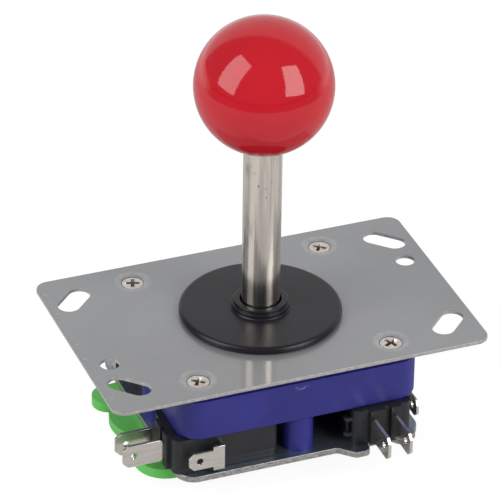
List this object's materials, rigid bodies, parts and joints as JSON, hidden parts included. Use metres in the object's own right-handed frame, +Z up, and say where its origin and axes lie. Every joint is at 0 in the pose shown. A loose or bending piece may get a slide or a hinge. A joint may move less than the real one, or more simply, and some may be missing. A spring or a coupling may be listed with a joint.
{
  "type": "arcade joystick lever",
  "caption": "Ball-top arcade lever under a mounting plate: a steel shaft leans on a pivot, springs back to centre and works lever switches set round it over a turnable gate.",
  "frame": {"origin": "on the axis of the upright lever, at the top face of the mounting plate", "axes": "+Z up along the lever to its ball, +X along the long side of the mounting plate"},
  "size_m": [0.1004, 0.0866, 0.1155],
  "materials": {
    "plate_steel": "satin rolled steel sheet",
    "screw_nickel": "bright plated",
    "disc_plastic": "satin",
    "washer_plastic": "satin",
    "ball_plastic": "high gloss",
    "shaft_steel": "drawn and plated",
    "pivot_plastic": "satin",
    "housing_plastic": "satin",
    "washer_steel": "plain",
    "spring_steel": "drawn wire",
    "actuator_plastic": "satin",
    "clip_steel": "oiled",
    "base_steel": "satin dark coat, bare cut edge",
    "gate_plastic": "satin",
    "switch_plastic": "satin",
    "blade_steel": "spring strip",
    "plunger_plastic": "satin",
    "leaf_bronze": "spring strip",
    "terminal_metal": "tinned"
  },
  "bodies": {
    "base": {"mounting_plate": "plate_steel", "plate_screws": "screw_nickel", "housing": "housing_plastic", "spring_seat": "washer_steel", "base_plate": "base_steel", "base_screws": "screw_nickel", "front_switch_case": "switch_plastic", "front_switch_cover": "switch_plastic", "front_switch_leaf": "leaf_bronze", "front_switch_no_terminal": "terminal_metal", "front_switch_nc_terminal": "terminal_metal", "front_switch_com_terminal": "terminal_metal", "right_switch_case": "switch_plastic", "right_switch_cover": "switch_plastic", "right_switch_leaf": "leaf_bronze", "right_switch_no_terminal": "terminal_metal", "right_switch_nc_terminal": "terminal_metal", "right_switch_com_terminal": "terminal_metal", "back_switch_case": "switch_plastic", "back_switch_cover": "switch_plastic", "back_switch_leaf": "leaf_bronze", "back_switch_no_terminal": "terminal_metal", "back_switch_nc_terminal": "terminal_metal", "back_switch_com_terminal": "terminal_metal", "left_switch_case": "switch_plastic", "left_switch_cover": "switch_plastic", "left_switch_leaf": "leaf_bronze", "left_switch_no_terminal": "terminal_metal", "left_switch_nc_terminal": "terminal_metal", "left_switch_com_terminal": "terminal_metal"},
    "spring": {"centring_spring": "spring_steel"},
    "stick": {"ball_top": "ball_plastic", "shaft": "shaft_steel", "pivot_ball": "pivot_plastic", "actuator": "actuator_plastic", "retaining_clip": "clip_steel"},
    "washer": {"inner_washer": "washer_plastic"},
    "disc": {"dust_disc": "disc_plastic"},
    "gate": {"restrictor_gate": "gate_plastic"},
    "front_blade": {"front_switch_blade": "blade_steel"},
    "front_plunger": {"front_switch_plunger": "plunger_plastic"},
    "right_blade": {"right_switch_blade": "blade_steel"},
    "right_plunger": {"right_switch_plunger": "plunger_plastic"},
    "back_blade": {"back_switch_blade": "blade_steel"},
    "back_plunger": {"back_switch_plunger": "plunger_plastic"},
    "left_blade": {"left_switch_blade": "blade_steel"},
    "left_plunger": {"left_switch_plunger": "plunger_plastic"}
  },
  "joints": [
    {"name": "lean_front_back", "type": "hinge", "parent": "base", "child": "spring", "pos_m": [0, 0, -0.007], "axis": [1, 0, 0], "range_deg": [-9, 9], "stiffness_Nm_per_rad": 0.6, "deforming": ["centring_spring"]},
    {"name": "lean_side_to_side", "type": "hinge", "parent": "spring", "child": "stick", "pos_m": [0, 0, -0.007], "axis": [0, 1, 0], "range_deg": [-9, 9], "stiffness_Nm_per_rad": 0.6, "deforming": ["centring_spring"]},
    {"name": "washer_slide", "type": "slide", "parent": "base", "child": "washer", "axis": [0, 1, 0], "range_m": [-0.0018, 0.0018]},
    {"name": "disc_slide", "type": "slide", "parent": "washer", "child": "disc", "axis": [1, 0, 0], "range_m": [-0.0018, 0.0018]},
    {"name": "gate_turn", "type": "hinge", "parent": "base", "child": "gate", "pos_m": [0, 0, -0.0276], "axis": [0, 0, 1], "range_deg": [0, 45]},
    {"name": "front_blade_swing", "type": "hinge", "parent": "base", "child": "front_blade", "pos_m": [-0.0311, -0.0119, -0.0193], "axis": [0, 0, -1], "range_deg": [0, 3.2], "stiffness_Nm_per_rad": 0.05},
    {"name": "front_plunger_push", "type": "slide", "parent": "base", "child": "front_plunger", "axis": [0, -1, 0], "range_m": [0, 0.0006]},
    {"name": "right_blade_swing", "type": "hinge", "parent": "base", "child": "right_blade", "pos_m": [0.0125, -0.0291, -0.0193], "axis": [0, 0, -1], "range_deg": [0, 3.2], "stiffness_Nm_per_rad": 0.05},
    {"name": "right_plunger_push", "type": "slide", "parent": "base", "child": "right_plunger", "axis": [1, 0, 0], "range_m": [0, 0.0006]},
    {"name": "back_blade_swing", "type": "hinge", "parent": "base", "child": "back_blade", "pos_m": [0.0311, 0.0119, -0.0193], "axis": [0, 0, -1], "range_deg": [0, 3.2], "stiffness_Nm_per_rad": 0.05},
    {"name": "back_plunger_push", "type": "slide", "parent": "base", "child": "back_plunger", "axis": [0, 1, 0], "range_m": [0, 0.0006]},
    {"name": "left_blade_swing", "type": "hinge", "parent": "base", "child": "left_blade", "pos_m": [-0.0125, 0.0291, -0.0193], "axis": [0, 0, -1], "range_deg": [0, 3.2], "stiffness_Nm_per_rad": 0.05},
    {"name": "left_plunger_push", "type": "slide", "parent": "base", "child": "left_plunger", "axis": [-1, 0, 0], "range_m": [0, 0.0006]}
  ],
  "couplings": [
    {"joint": "washer_slide", "follows": "lean_front_back", "m_per_rad": -0.0108},
    {"joint": "disc_slide", "follows": "lean_side_to_side", "m_per_rad": 0.0108},
    {"joint": "front_plunger_push", "follows": "front_blade_swing", "m_per_rad": 0.0086},
    {"joint": "right_plunger_push", "follows": "right_blade_swing", "m_per_rad": 0.0086},
    {"joint": "back_plunger_push", "follows": "back_blade_swing", "m_per_rad": 0.0086},
    {"joint": "left_plunger_push", "follows": "left_blade_swing", "m_per_rad": 0.0086}
  ]
}
